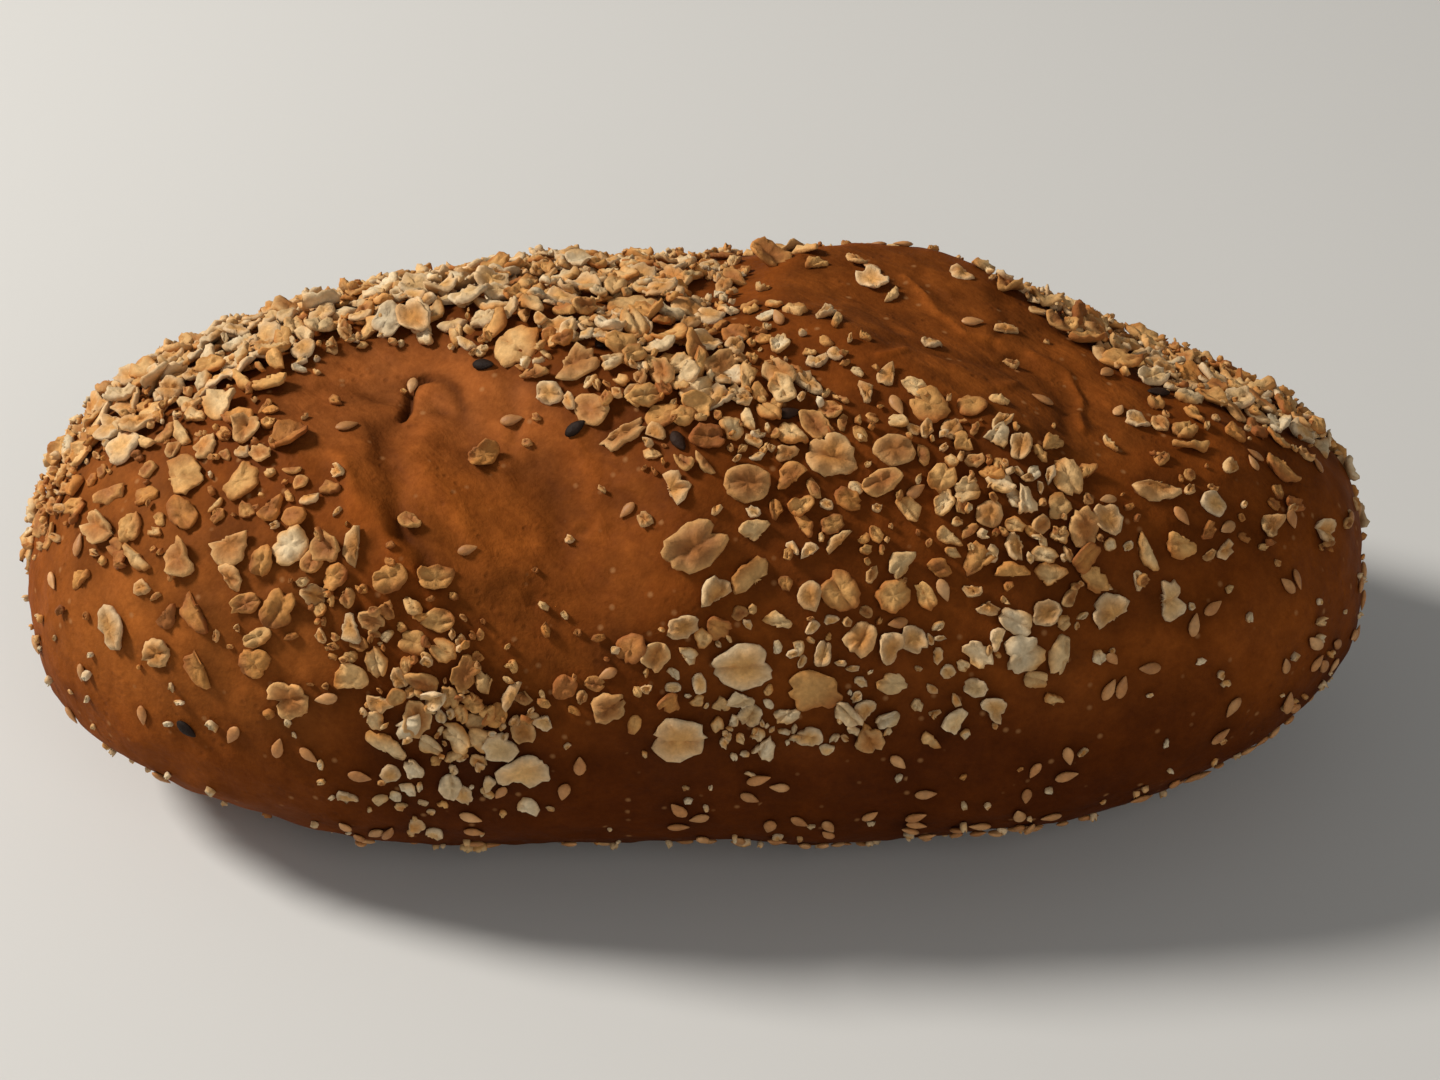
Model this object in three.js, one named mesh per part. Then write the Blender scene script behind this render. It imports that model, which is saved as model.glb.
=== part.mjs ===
// An oval loaf of bread with a topping of rolled oats, sesame and linseed.
// Millimetres, +Z up, X along the loaf. The origin is the middle of the flat base.
import * as THREE from "three";
import { mergeVertices } from "three/addons/utils/BufferGeometryUtils.js";

// Driving dimensions of the bread.
const loafLength = 210;
const loafWidth = 105;
const loafHeight = 76;
const bellyHeight = 27; // where the loaf is widest

// How square the loaf is: 2 is an ellipse, more is blunter.
const endBluntness = 2.45;
const sectionBluntness = 2.1;
const undercut = 0.86; // 0 has upright sides, 1 comes to a point under the loaf

// The topping. Seeds are length, width and thickness.
const oatThickness = 0.9;
const oatCurl = 0.35; // how far the rim of an oat lifts
const sesameSize = [3.6, 2.1, 1.0];
const linseedSize = [3.6, 2.2, 1.1];
const crustGap = 0.35; // clearance under a piece of topping, so that it stays a separate solid

// How finely the crust is faceted.
const facetsAround = 96;
const ringsAboveBelly = 25;
const ringsBelowBelly = 6;

// Two slashes, cut across the loaf before baking, that opened into bare hollows.
// Each runs between two points seen from above, and sinks below the crust around it.
const slashes = [
  { from: [-46, -8], to: [-20, -32], halfWidth: 18, depth: 4.5, lip: 1.2 },
  { from: [30, 12], to: [60, -10], halfWidth: 17, depth: 3.2, lip: 1.0 },
];

// Broad swellings and dents that the oven gave the dough: place, reach and height.
const swellings = [
  { at: [42, 27, 67], reach: 22, height: 1.2 },
  { at: [70, 16, 62], reach: 24, height: -8.2 },
  { at: [-62, 12, 62], reach: 26, height: -3.0 },
  { at: [-28, 20, 72], reach: 20, height: -1.2 },
  { at: [3, 18, 74], reach: 16, height: -3.6 },
  { at: [-97, 6, 46], reach: 20, height: 0.0 },
  { at: [56, -42, 12], reach: 18, height: 0.8 },
  { at: [-56, -42, 12], reach: 30, height: 2.4 },
  { at: [-92, -22, 22], reach: 20, height: 0.8 },
  { at: [0, -50, 14], reach: 24, height: -1.4 },
  { at: [4, -30, 62], reach: 22, height: 1.6 },
  { at: [-70, -30, 44], reach: 24, height: 1.2 },
  { at: [30, 44, 40], reach: 30, height: 1.6 },
  { at: [-46, 46, 34], reach: 26, height: -1.4 },
  { at: [88, -24, 20], reach: 22, height: -2.0 },
];

const smooth = (t) => t * t * (3 - 2 * t);
const clamp01 = (t) => Math.min(1, Math.max(0, t));

// Distance from a point to a slash's centre line, seen from above.
function distanceToSlash(slash, x, y) {
  const [x0, y0] = slash.from;
  const [x1, y1] = slash.to;
  const along = ((x - x0) * (x1 - x0) + (y - y0) * (y1 - y0)) / ((x1 - x0) ** 2 + (y1 - y0) ** 2);
  const t = clamp01(along);
  return Math.hypot(x - x0 - t * (x1 - x0), y - y0 - t * (y1 - y0));
}

// How far the crust stands out from the plain oval, in mm, at a place seen from above.
function relief(x, y, z) {
  const upper = smooth(clamp01((z - bellyHeight) / 18));
  let out = 0;
  for (const slash of slashes) {
    const d = distanceToSlash(slash, x, y) / slash.halfWidth;
    out -= slash.depth * (1 - smooth(clamp01(d))) * upper;
    out += slash.lip * Math.exp(-(((d - 1.15) / 0.3) ** 2)) * upper;
  }
  for (const swell of swellings) {
    const d = Math.hypot(x - swell.at[0], y - swell.at[1], z - swell.at[2]) / swell.reach;
    out += swell.height * Math.exp(-d * d);
  }
  return out;
}

// Radius of the plain oval at a height, towards a compass direction seen from above.
function ovalRadius(direction, z) {
  const reach = z > bellyHeight ? loafHeight - bellyHeight : bellyHeight / undercut;
  const level = Math.abs(z - bellyHeight) / reach;
  const ux = Math.abs(Math.cos(direction)) / (loafLength / 2);
  const uy = Math.abs(Math.sin(direction)) / (loafWidth / 2);
  let low = 0;
  let high = loafLength;
  for (let i = 0; i < 40; i++) {
    const r = (low + high) / 2;
    const section = (uy * r) ** sectionBluntness + level ** sectionBluntness;
    const inside = (ux * r) ** endBluntness + section ** (endBluntness / sectionBluntness) < 1;
    if (inside) low = r;
    else high = r;
  }
  return low;
}

function crustPoint(direction, z) {
  const r = ovalRadius(direction, z);
  const point = new THREE.Vector3(r * Math.cos(direction), r * Math.sin(direction), z);
  const outward = new THREE.Vector3(
    point.x / (loafLength / 2) ** 2,
    point.y / (loafWidth / 2) ** 2,
    Math.max(0, z - bellyHeight) / (loafHeight - bellyHeight) ** 2, // sideways only below the belly
  ).normalize();
  return point.addScaledVector(outward, relief(point.x, point.y, z));
}

// Rings of points from the edge of the flat base up to the crown, closed by a fan at each end.
function breadGeometry() {
  const heights = [];
  for (let i = 0; i < ringsBelowBelly; i++) {
    heights.push(bellyHeight * (1 - Math.cos((Math.PI / 2) * (i / ringsBelowBelly))));
  }
  for (let i = 0; i < ringsAboveBelly; i++) {
    heights.push(bellyHeight + (loafHeight - bellyHeight) * Math.sin((Math.PI / 2) * (i / ringsAboveBelly)));
  }
  const points = [];
  for (const z of heights) {
    for (let j = 0; j < facetsAround; j++) {
      const turn = (2 * Math.PI * j) / facetsAround;
      const direction = Math.atan2(loafWidth * Math.sin(turn), loafLength * Math.cos(turn));
      points.push(crustPoint(direction, z));
    }
  }
  points.push(new THREE.Vector3(0, 0, loafHeight + relief(0, 0, loafHeight)), new THREE.Vector3());
  const [crown, baseCentre] = [points.length - 2, points.length - 1];
  const faces = [];
  for (let i = 0; i < heights.length - 1; i++) {
    for (let j = 0; j < facetsAround; j++) {
      const next = (j + 1) % facetsAround;
      const [a, b] = [i * facetsAround + j, i * facetsAround + next];
      const [c, d] = [b + facetsAround, a + facetsAround];
      const shorterFromA = points[a].distanceTo(points[c]) < points[b].distanceTo(points[d]);
      if (shorterFromA) faces.push(a, b, c, a, c, d);
      else faces.push(a, b, d, b, c, d);
    }
  }
  const topRing = (heights.length - 1) * facetsAround;
  for (let j = 0; j < facetsAround; j++) {
    const next = (j + 1) % facetsAround;
    faces.push(topRing + j, topRing + next, crown, next, j, baseCentre);
  }
  const geometry = new THREE.BufferGeometry().setFromPoints(points);
  geometry.setIndex(faces);
  return geometry;
}

const crustMaterial = new THREE.MeshStandardMaterial({ color: 0x8c4f2b, roughness: 0.72, metalness: 0 });
const bread = new THREE.Mesh(breadGeometry(), crustMaterial);
bread.name = "bread_loaf";
bread.updateMatrixWorld(true);

const ray = new THREE.Raycaster();
const outside = 40; // how far out a ray starts when it looks for the crust

// The place on the crust at x, at an angle round the long axis: 0 faces front, 90 up, 180 back.
function placeOnCrust(x, round) {
  const angle = THREE.MathUtils.degToRad(round);
  const outward = new THREE.Vector3(0, -Math.cos(angle), Math.sin(angle));
  const axis = new THREE.Vector3(x, 0, bellyHeight);
  ray.set(axis.clone().addScaledVector(outward, loafWidth), outward.clone().negate());
  return ray.intersectObject(bread)[0].point;
}

// A frame that lies on the crust: origin, outward normal, and a long axis turned from +X.
function seatOnCrust(x, round, turn) {
  const reach = 2.5; // mm either way
  const degrees = 3;
  const ahead = placeOnCrust(x + reach, round).sub(placeOnCrust(x - reach, round)).normalize();
  const over = placeOnCrust(x, round + degrees).sub(placeOnCrust(x, round - degrees)).normalize();
  const normal = new THREE.Vector3().crossVectors(ahead, over).normalize();
  const along = ahead.clone().applyAxisAngle(normal, THREE.MathUtils.degToRad(turn));
  const across = new THREE.Vector3().crossVectors(normal, along).normalize();
  return { origin: placeOnCrust(x, round), normal, along, across };
}

// Height of the crust over the seat's tangent plane, u mm along it and v mm across it.
function crustHeight(seat, u, v) {
  const start = seat.origin.clone().addScaledVector(seat.along, u).addScaledVector(seat.across, v);
  ray.set(start.addScaledVector(seat.normal, outside), seat.normal.clone().negate());
  return outside - ray.intersectObject(bread)[0].distance;
}

// Bends a small closed shape, modelled flat, so that its underside follows the crust.
function layOnCrust(geometry, seat, rise = () => 0) {
  const position = geometry.getAttribute("position");
  const point = new THREE.Vector3();
  for (let i = 0; i < position.count; i++) {
    point.fromBufferAttribute(position, i);
    const height = crustHeight(seat, point.x, point.y) + crustGap + point.z + rise(point.x, point.y);
    const placed = seat.origin.clone().addScaledVector(seat.along, point.x);
    placed.addScaledVector(seat.across, point.y).addScaledVector(seat.normal, height);
    position.setXYZ(i, placed.x, placed.y, placed.z);
  }
  return geometry;
}

// A unit ball whose shared points are merged, so that the piece made of it is one closed surface.
function ball(around, rings) {
  const geometry = new THREE.SphereGeometry(1, around, rings).rotateX(Math.PI / 2);
  geometry.deleteAttribute("normal");
  geometry.deleteAttribute("uv");
  return mergeVertices(geometry, 1e-4);
}

// A rolled oat: a thin disc with an uneven rim, a groove along it and edges that curl up.
function oatGeometry(seat, length, width, number, standing) {
  const geometry = ball(14, 6);
  const position = geometry.getAttribute("position");
  for (let i = 0; i < position.count; i++) {
    const [x, y, z] = [position.getX(i), position.getY(i), position.getZ(i)];
    const angle = Math.atan2(y, x);
    const rim = 1 + 0.07 * Math.sin(3 * angle + 1.7 * number) + 0.05 * Math.sin(5 * angle + 2.9 * number);
    const spread = Math.hypot(x, y) ** 0.7 * rim; // widens the flat of the disc
    const groove = z > 0 ? 0.2 * Math.exp(-((y / 0.16) ** 2)) * z : 0;
    position.setXYZ(
      i,
      (length / 2) * spread * Math.cos(angle),
      (width / 2) * spread * Math.sin(angle),
      (oatThickness / 2) * (1 + Math.sign(z) * Math.abs(z) ** 0.6 - 2 * groove),
    );
  }
  const curl = (u, v) => oatCurl * Math.hypot((2 * u) / length, (2 * v) / width) ** 3;
  const rear = (v) => standing * clamp01(0.5 + v / width) ** 1.4;
  return layOnCrust(geometry, seat, (u, v) => curl(u, v) + rear(v));
}

// A seed: an egg shape with one pointed end.
function seedGeometry(seat, [length, width, thickness]) {
  const geometry = ball(10, 6);
  const position = geometry.getAttribute("position");
  for (let i = 0; i < position.count; i++) {
    const [x, y, z] = [position.getX(i), position.getY(i), position.getZ(i)];
    const taper = 1 - 0.38 * clamp01((x + 0.2) / 1.2);
    const height = (thickness / 2) * (1 + z * taper);
    position.setXYZ(i, (length / 2) * x, (width / 2) * y * taper, height);
  }
  return layOnCrust(geometry, seat);
}

const numbered = (name, i) => name + "_" + String(i + 1).padStart(2, "0");

// The larger rolled oats. Each row is the place along the loaf (mm), the angle round it
// (degrees), length and width (mm), the turn of its long axis (degrees) and how far the
// rear edge stands up off the crust (mm).
const oatFlakes = [
  [-1, 43, 9.4, 6.6, 28, 0.6],
  [-3, 12, 8.2, 6.8, -5, 0.2],
  [6, 24, 8.8, 6.0, 4, 0.4],
  [16, 20, 7.4, 6.4, -20, 0.3],
  [8, 38, 6.4, 6.0, 40, 0.2],
  [20, 36, 6.0, 5.2, -60, 0.8],
  [-18, 77, 7.6, 5.6, 15, 0.2],
  [-27, 84, 7.6, 6.6, -50, 0.6],
  [-4, 52, 5.6, 4.6, 10, 0.8],
  [7, 53, 6.6, 5.6, 0, 0.5],
  [-11, 63, 7.4, 5.8, 20, 0.4],
  [19, 58, 7.4, 6.2, -12, 0.4],
  [-10, 95, 8.0, 6.4, 10, 0.2],
  [11, 121, 5.4, 4.8, 50, 4.4],
  [67, 56, 7.4, 5.8, -5, 0.4],
  [46.5, 25, 5.8, 5.4, 30, 0.2],
  [53, 24, 6.6, 5.4, 80, 0.4],
  [60, 31, 6.2, 5.8, -30, 0.3],
  [68, 33, 6.4, 5.4, 20, 0.2],
  [70.5, 44, 5.0, 4.6, 0, 0.6],
  [-68, 45, 7.8, 6.2, -10, 0.3],
  [-59, 44, 5.6, 5.2, 30, 0.3],
  [-77, 60, 8.4, 6.8, -15, 0.4],
  [-88, 62, 6.4, 5.0, 5, 0.4],
  [-84, 50, 4.8, 3.8, 75, 0.2],
  [-73, 32, 6.4, 5.8, -60, 0.6],
  [-87, 27, 6.4, 4.4, -70, 0.2],
  [-80, 23, 5.0, 4.4, 20, 0.2],
  [-73, 21, 6.2, 5.0, -65, 0.4],
  [-65, 23, 4.8, 4.2, -40, 0.4],
  [-60, 17, 6.0, 5.6, 10, 0.2],
  [-61, 33, 5.6, 5.0, 60, 0.5],
  [-71, 78, 6.0, 5.2, -40, 0.8],
  [-67, 57, 6.8, 4.6, 65, 0.4],
  [-46, 9, 7.0, 4.8, -30, 0.2],
  [-26, 5, 7.4, 5.8, 25, 0.3],
  [88, 70, 6.2, 5.6, -30, 0.5],
  [-32, 62, 4.6, 3.2, 20, 1.2],
];

// Sesame seeds that lie on their own: place along the loaf, angle round it, turn.
const sesameSeeds = [
  [-52, 68, 20],
  [-93, 48, 80],
  [-69, 8, 60],
  [-62, 7, 75],
  [-50, 3, -8],
  [72.5, 28, 80],
  [66, 20, -5],
  [62, 17, 75],
  [60, 17, 60],
  [51, 75, -20],
  [42, 101, 15],
  [29, 68, -65],
  [-34, -5, -25],
  [54, 0, 10],
];

// Linseeds, the dark ones.
const linseeds = [
  [13, 66, 10],
  [-3, 60, -60],
  [-18, 65, 30],
  [-31.8, 81.5, -20],
  [-39, 115, 0],
  [70, 88, 5],
  [-76, 7, -30],
];

const loaf = new THREE.Group();
loaf.add(bread);

function addPiece(name, geometry, material) {
  const mesh = new THREE.Mesh(geometry, material);
  mesh.name = name;
  loaf.add(mesh);
}

const oatMaterial = new THREE.MeshStandardMaterial({ color: 0xc79a63, roughness: 0.85, metalness: 0 });
oatFlakes.forEach(([x, round, length, width, turn, standing], i) => {
  const geometry = oatGeometry(seatOnCrust(x, round, turn), length, width, i + 1, standing);
  addPiece(numbered("oat_flake", i), geometry, oatMaterial);
});

const sesameMaterial = new THREE.MeshStandardMaterial({ color: 0xd2ab7c, roughness: 0.55, metalness: 0 });
sesameSeeds.forEach(([x, round, turn], i) => {
  addPiece(numbered("sesame_seed", i), seedGeometry(seatOnCrust(x, round, turn), sesameSize), sesameMaterial);
});

const linseedMaterial = new THREE.MeshStandardMaterial({ color: 0x2c2120, roughness: 0.35, metalness: 0 });
linseeds.forEach(([x, round, turn], i) => {
  addPiece(numbered("linseed", i), seedGeometry(seatOnCrust(x, round, turn), linseedSize), linseedMaterial);
});

export default loaf;
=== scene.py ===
import math
import random

import bpy
import numpy as np
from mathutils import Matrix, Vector, noise
from mathutils.bvhtree import BVHTree
from mathutils.kdtree import KDTree


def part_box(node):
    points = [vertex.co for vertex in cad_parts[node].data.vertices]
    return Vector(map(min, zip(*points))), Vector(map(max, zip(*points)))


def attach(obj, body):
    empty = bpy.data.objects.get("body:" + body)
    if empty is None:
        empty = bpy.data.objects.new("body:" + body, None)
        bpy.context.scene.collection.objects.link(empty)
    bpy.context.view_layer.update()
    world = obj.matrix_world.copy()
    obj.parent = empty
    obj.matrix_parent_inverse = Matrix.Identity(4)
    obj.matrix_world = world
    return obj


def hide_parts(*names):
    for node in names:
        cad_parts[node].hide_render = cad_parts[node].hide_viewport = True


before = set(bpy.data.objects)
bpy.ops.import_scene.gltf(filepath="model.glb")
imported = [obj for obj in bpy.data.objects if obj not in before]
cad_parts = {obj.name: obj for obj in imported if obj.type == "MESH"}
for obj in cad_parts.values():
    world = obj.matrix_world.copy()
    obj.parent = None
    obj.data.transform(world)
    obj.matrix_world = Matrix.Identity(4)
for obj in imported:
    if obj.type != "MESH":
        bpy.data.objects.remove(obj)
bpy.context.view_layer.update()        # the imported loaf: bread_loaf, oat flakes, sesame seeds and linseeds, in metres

breadLow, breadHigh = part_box("bread_loaf")
breadLength = breadHigh.x - breadLow.x
mm = 0.001
bellyHeight = 27.0       # mm, where the loaf is widest
wellClear = 90.0         # mm from the long axis to a point that is surely outside the crust
fullTurn = 6.3           # radians, just over once round

# Below, "swing" is an angle in degrees round the loaf's long axis: 0 is the front, 90 the top and 180 the
# back. The offset given to unevenness or noise only picks another stretch of the same noise.


def ease(value, low, high):
    # 0 below low, 1 above high, smooth between; low may be the larger
    t = np.clip((value - low) / (high - low), 0.0, 1.0)
    return t * t * (3 - 2 * t)


def meshPiece(name, points, faces, material):
    # points in mm become a smooth-shaded object that rides on the loaf
    mesh = bpy.data.meshes.new(name)
    mesh.from_pydata((np.asarray(points) * mm).tolist(), [], faces)
    mesh.update()
    mesh.shade_smooth()
    mesh.materials.append(material)
    piece = bpy.data.objects.new(name, mesh)
    bpy.context.scene.collection.objects.link(piece)
    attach(piece, "root")
    return piece


def paintNumbers(piece, name, values):
    layer = piece.data.attributes.new(name, "FLOAT", "POINT")
    layer.data.foreach_set("value", np.asarray(values, dtype=np.float32))


def paintColours(piece, name, colours):
    layer = piece.data.attributes.new(name, "FLOAT_COLOR", "POINT")
    withAlpha = np.concatenate([colours, np.ones((len(colours), 1))], axis=1)
    layer.data.foreach_set("color", withAlpha.astype(np.float32).ravel())


class NodeBoard:
    # a short way to lay out a material's nodes
    def __init__(self, name):
        self.material = bpy.data.materials.new(name)
        self.material.use_nodes = True
        self.tree = self.material.node_tree
        self.shader = self.tree.nodes["Principled BSDF"]
        self.place = self.add("ShaderNodeTexCoord").outputs["Object"]

    def add(self, kind, settings=None, **inputs):
        node = self.tree.nodes.new(kind)
        for key, value in (settings or {}).items():
            setattr(node, key, value)
        for key, value in inputs.items():
            self.feed(node.inputs[key.replace("_", " ")], value)
        return node

    def feed(self, socket, value):
        if isinstance(value, bpy.types.NodeSocket):
            self.tree.links.new(value, socket)
        else:
            socket.default_value = value

    def noise(self, scale, detail=4.0, roughness=0.55):
        node = self.add("ShaderNodeTexNoise", Vector=self.place, Scale=scale, Detail=detail,
                        Roughness=roughness)
        return node.outputs["Fac"]

    def cells(self, scale):
        return self.add("ShaderNodeTexVoronoi", Vector=self.place, Scale=scale).outputs

    def number(self, name):
        return self.add("ShaderNodeAttribute", {"attribute_name": name}).outputs["Fac"]

    def colour(self, name):
        return self.add("ShaderNodeAttribute", {"attribute_name": name}).outputs["Color"]

    def spread(self, value, fromLow, fromHigh, toLow=0.0, toHigh=1.0):
        node = self.add("ShaderNodeMapRange", {"clamp": True})
        for key, number in enumerate((fromLow, fromHigh, toLow, toHigh), 1):
            node.inputs[key].default_value = number
        self.feed(node.inputs[0], value)
        return node.outputs[0]

    def math(self, operation, a, b):
        node = self.add("ShaderNodeMath", {"operation": operation})
        self.feed(node.inputs[0], a)
        self.feed(node.inputs[1], b)
        return node.outputs[0]

    def mix(self, amount, a, b, blend="MIX"):
        node = self.add("ShaderNodeMix", {"data_type": "RGBA", "blend_type": blend})
        self.feed(node.inputs[0], amount)
        self.feed(node.inputs[6], a if isinstance(a, bpy.types.NodeSocket) else (*a, 1))
        self.feed(node.inputs[7], b if isinstance(b, bpy.types.NodeSocket) else (*b, 1))
        return node.outputs[2]

    def tint(self, base, amount, a, b):
        # base times a colour between a and b
        return self.mix(1.0, base, self.mix(amount, a, b), "MULTIPLY")

    def bump(self, height, distance, strength=1.0, under=None):
        node = self.add("ShaderNodeBump", Strength=strength, Distance=distance)
        self.feed(node.inputs["Height"], height)
        if under is not None:
            self.feed(node.inputs["Normal"], under)
        return node.outputs["Normal"]

    def finish(self, colour, roughness, shine=None, normal=None):
        named = {"Base Color": colour, "Roughness": roughness, "Specular IOR Level": shine, "Normal": normal}
        for name, value in named.items():
            if value is not None:
                self.feed(self.shader.inputs[name], value)
        return self.material


camera = {
    "turn": -0.5, "height": 38.0,       # degrees round and above the loaf
    "lens": 85.0, "away": 2.557,        # distance in loaf lengths
    "aim": (0.0166, -0.0028, -0.0210),  # off the bread's middle, in loaf lengths
}


def putFacing(name, data, aim, direction, away):
    # sets a camera or a lamp down that way from aim, looking at it
    holder = bpy.data.objects.new(name, data)
    holder.location = aim + direction * away
    holder.rotation_euler = (-direction).to_track_quat("-Z", "Y").to_euler()
    bpy.context.scene.collection.objects.link(holder)
    return holder


def addCamera():
    turn, height = math.radians(camera["turn"]), math.radians(camera["height"])
    back = Vector((math.sin(turn) * math.cos(height), -math.cos(turn) * math.cos(height), math.sin(height)))
    aim = (breadLow + breadHigh) / 2 + Vector(camera["aim"]) * breadLength
    lens = bpy.data.cameras.new("camera")
    lens.lens = camera["lens"]
    bpy.context.scene.camera = putFacing("camera", lens, aim, back, camera["away"] * breadLength)


lamps = {
    # name: direction from the loaf, distance and size in metres, power in watts, colour
    "key": {"from": (-0.74, 0.16, 0.65), "away": 1.3, "size": 0.32, "power": 20.5,
            "colour": (1.0, 0.955, 0.89)},
    "fill": {"from": (0.30, -0.80, 0.52), "away": 1.5, "size": 1.2, "power": 5.2,
             "colour": (1.0, 0.98, 0.95)},
}
room = {"colour": (0.90, 0.89, 0.86), "strength": 0.19}
ground = {"half": 4.0, "colour": (0.60, 0.60, 0.59), "roughness": 0.85}     # metres from the middle to a side


def addLamps():
    middle = (breadLow + breadHigh) / 2
    for name, lamp in lamps.items():
        light = bpy.data.lights.new(name, "AREA")
        light.shape = "DISK"
        light.size = lamp["size"]
        light.energy = lamp["power"]
        light.color = lamp["colour"]
        putFacing(name, light, middle, Vector(lamp["from"]).normalized(), lamp["away"])
    world = bpy.data.worlds.new("room")
    world.use_nodes = True
    background = world.node_tree.nodes["Background"]
    background.inputs["Color"].default_value = (*room["colour"], 1)
    background.inputs["Strength"].default_value = room["strength"]
    bpy.context.scene.world = world
    bpy.context.scene.view_settings.view_transform = "Standard"


def addFloor():
    half = ground["half"]
    mesh = bpy.data.meshes.new("floor")
    corners = [(-half, -half, 0), (half, -half, 0), (half, half, 0), (-half, half, 0)]
    mesh.from_pydata(corners, [], [(0, 1, 2, 3)])
    paint = NodeBoard("floorPaint").finish((*ground["colour"], 1), ground["roughness"])
    mesh.materials.append(paint)
    floor = bpy.data.objects.new("floor", mesh)
    floor.location.z = breadLow.z
    bpy.context.scene.collection.objects.link(floor)


addCamera()
addLamps()
addFloor()
print("camera, light and floor are set")


crust = {
    "grain": 0.62,               # mm between points of the surface
    "smoothing": 34,             # rounds of it
    "baseEdge": (0.4, 7.0),      # mm above the floor, where the unevenness fades in
    "lumps": ((19.0, 0.8), (7.5, 0.5), (2.6, 0.16)),    # size and height of the unevenness, mm
    "calm": 0.45,                # how much less of it there is in the hollows
    "wander": {"size": 6.0, "reach": 1.7},              # mm, how far folds and pits stray from a clean line
    # the bare crust of the two slashes that opened while baking, seen from above: ends and half width
    "hollows": [([(-48, -11), (-21, -36)], 15.5), ([(29, 13), (52, -7)], 17)],
    "hollowEdge": (1.08, 0.86),  # in half widths, where a hollow begins and is fully bare
    "hollowHeight": (40, 50),    # mm, hollows are only on top
    "foldHeight": (42, 50),
    "foldShade": 1.2,            # a fold's dark is this much wider than the fold
    # the stretched crust in the hollows is streaked along this way, in degrees from +X
    "streaks": {"way": -42, "length": 11.0, "width": 2.3, "tall": 6.0, "height": 0.26},
    # folds and cracks in the hollows, seen from above: a path, its width and depth, and how much painted shade it gets
    # (below zero, a painted highlight on a ridge)
    "folds": [
        # left hollow: the arched crack, the deep fold below it and the ridge along its left side
        ([(-44.5, -13), (-44, -9.5), (-42, -6.5), (-40.5, -6)], 0.8, 1.0, 0.95),
        ([(-44.3, -12), (-43.6, -9.2)], 1.0, 0.6, 0.6),
        ([(-41, -6.2), (-38, -7), (-36, -9.5), (-35, -12)], 0.55, 0.55, 0.7),
        ([(-42.3, -9.5), (-40, -8.8), (-37.6, -11)], 1.0, -0.25, -0.5),
        ([(-45.5, -17), (-46, -22), (-44, -28), (-44.5, -34)], 2.6, 1.0, 0.42),
        ([(-44, -34), (-41, -37.5), (-38, -40)], 1.2, 0.8, 0.6),
        ([(-53, -24), (-48.5, -31), (-44, -37.5), (-38.5, -43)], 1.3, -0.9, -0.9),
        ([(-41, -19), (-40, -26), (-36, -30)], 2.4, -0.8, -0.35),
        ([(-30.5, -5), (-29.4, -9), (-28.1, -13.5), (-27.7, -18)], 1.3, 0.4, 0.35),
        ([(-32.5, -8), (-31.5, -13), (-31, -18)], 2.0, -0.3, -0.3),
        ([(-38, -12), (-35, -15), (-33, -20)], 3.0, 0.6, 0.1),
        ([(-52, -10), (-50, -16), (-50, -22)], 3.0, -0.5, 0.0),
        ([(-56, -6), (-50, -7), (-45, -10)], 1.2, 0.4, 0.3),
        ([(-25, -24), (-21, -30), (-20, -35)], 2.4, 0.5, 0.5),
        ([(-18, -22), (-15, -28), (-14, -34)], 1.6, -0.5, -0.2),
        ([(-34, -33), (-30, -37), (-25, -39)], 1.5, -0.4, -0.2),
        # right hollow: thin stretched wrinkles, and the swollen lip on its right
        ([(31.9, 19), (34.2, 14.8), (36.6, 9.9), (41, 5), (46, 3.5)], 0.7, -0.55, -0.9),
        ([(34.5, 20), (38, 14), (42, 9)], 1.2, 0.45, 0.35),
        ([(26, -9.5), (28.5, -8), (31, -6.5)], 0.7, -0.5, -1.0),
        ([(30, -3), (36, -5), (42, -4), (47, -1)], 1.5, 0.35, 0.3),
        ([(51, 2), (55, 0.5), (57, -7), (57.2, -15)], 0.8, -0.6, -0.7),
        ([(49, 0), (53, -4), (54.5, -10), (54, -15)], 1.6, 0.45, 0.25),
        ([(58, 4), (62, -2), (63, -10)], 3.2, -0.8, -0.5),
        ([(46, 16), (47, 9), (45, 2)], 1.4, 0.4, 0.4),
        ([(20, 15), (26, 9), (29, 1)], 1.4, 0.35, 0.2),
        ([(38, -9), (43, -11), (47, -8)], 1.0, -0.4, -0.3),
    ],
    "pits": [             # mm along the loaf, swing, radius and depth in mm
        (-54, 36, 1.5, 1.3), (-50, 33, 1.2, 1.0), (-24, 34, 1.0, 0.8), (-63, 38, 1.2, 0.8),
        (5, 28, 1.0, 0.8), (30, 40, 1.1, 0.8), (-38, 73, 0.9, 0.5), (-16, 46, 0.9, 0.6),
        (60, 34, 1.0, 0.6), (78, 12, 0.9, 0.6), (-80, 20, 0.9, 0.5), (-12, 150, 1.1, 0.8),
        (44, 160, 1.2, 0.8), (-66, 158, 1.0, 0.7), (90, 60, 0.9, 0.5),
    ],
    # painted shade in the pits
    "pitDark": 0.6,
    # burst bubbles on the crust below that height: radius and depth in mm, none deeper than the limit, and how much
    # painted shade goes in them
    "baseDents": {"count": 110, "below": 0.3, "radius": (0.9, 2.6), "depth": (0.25, 0.8), "limit": 0.8,
                  "dark": 0.35},
}


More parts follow.
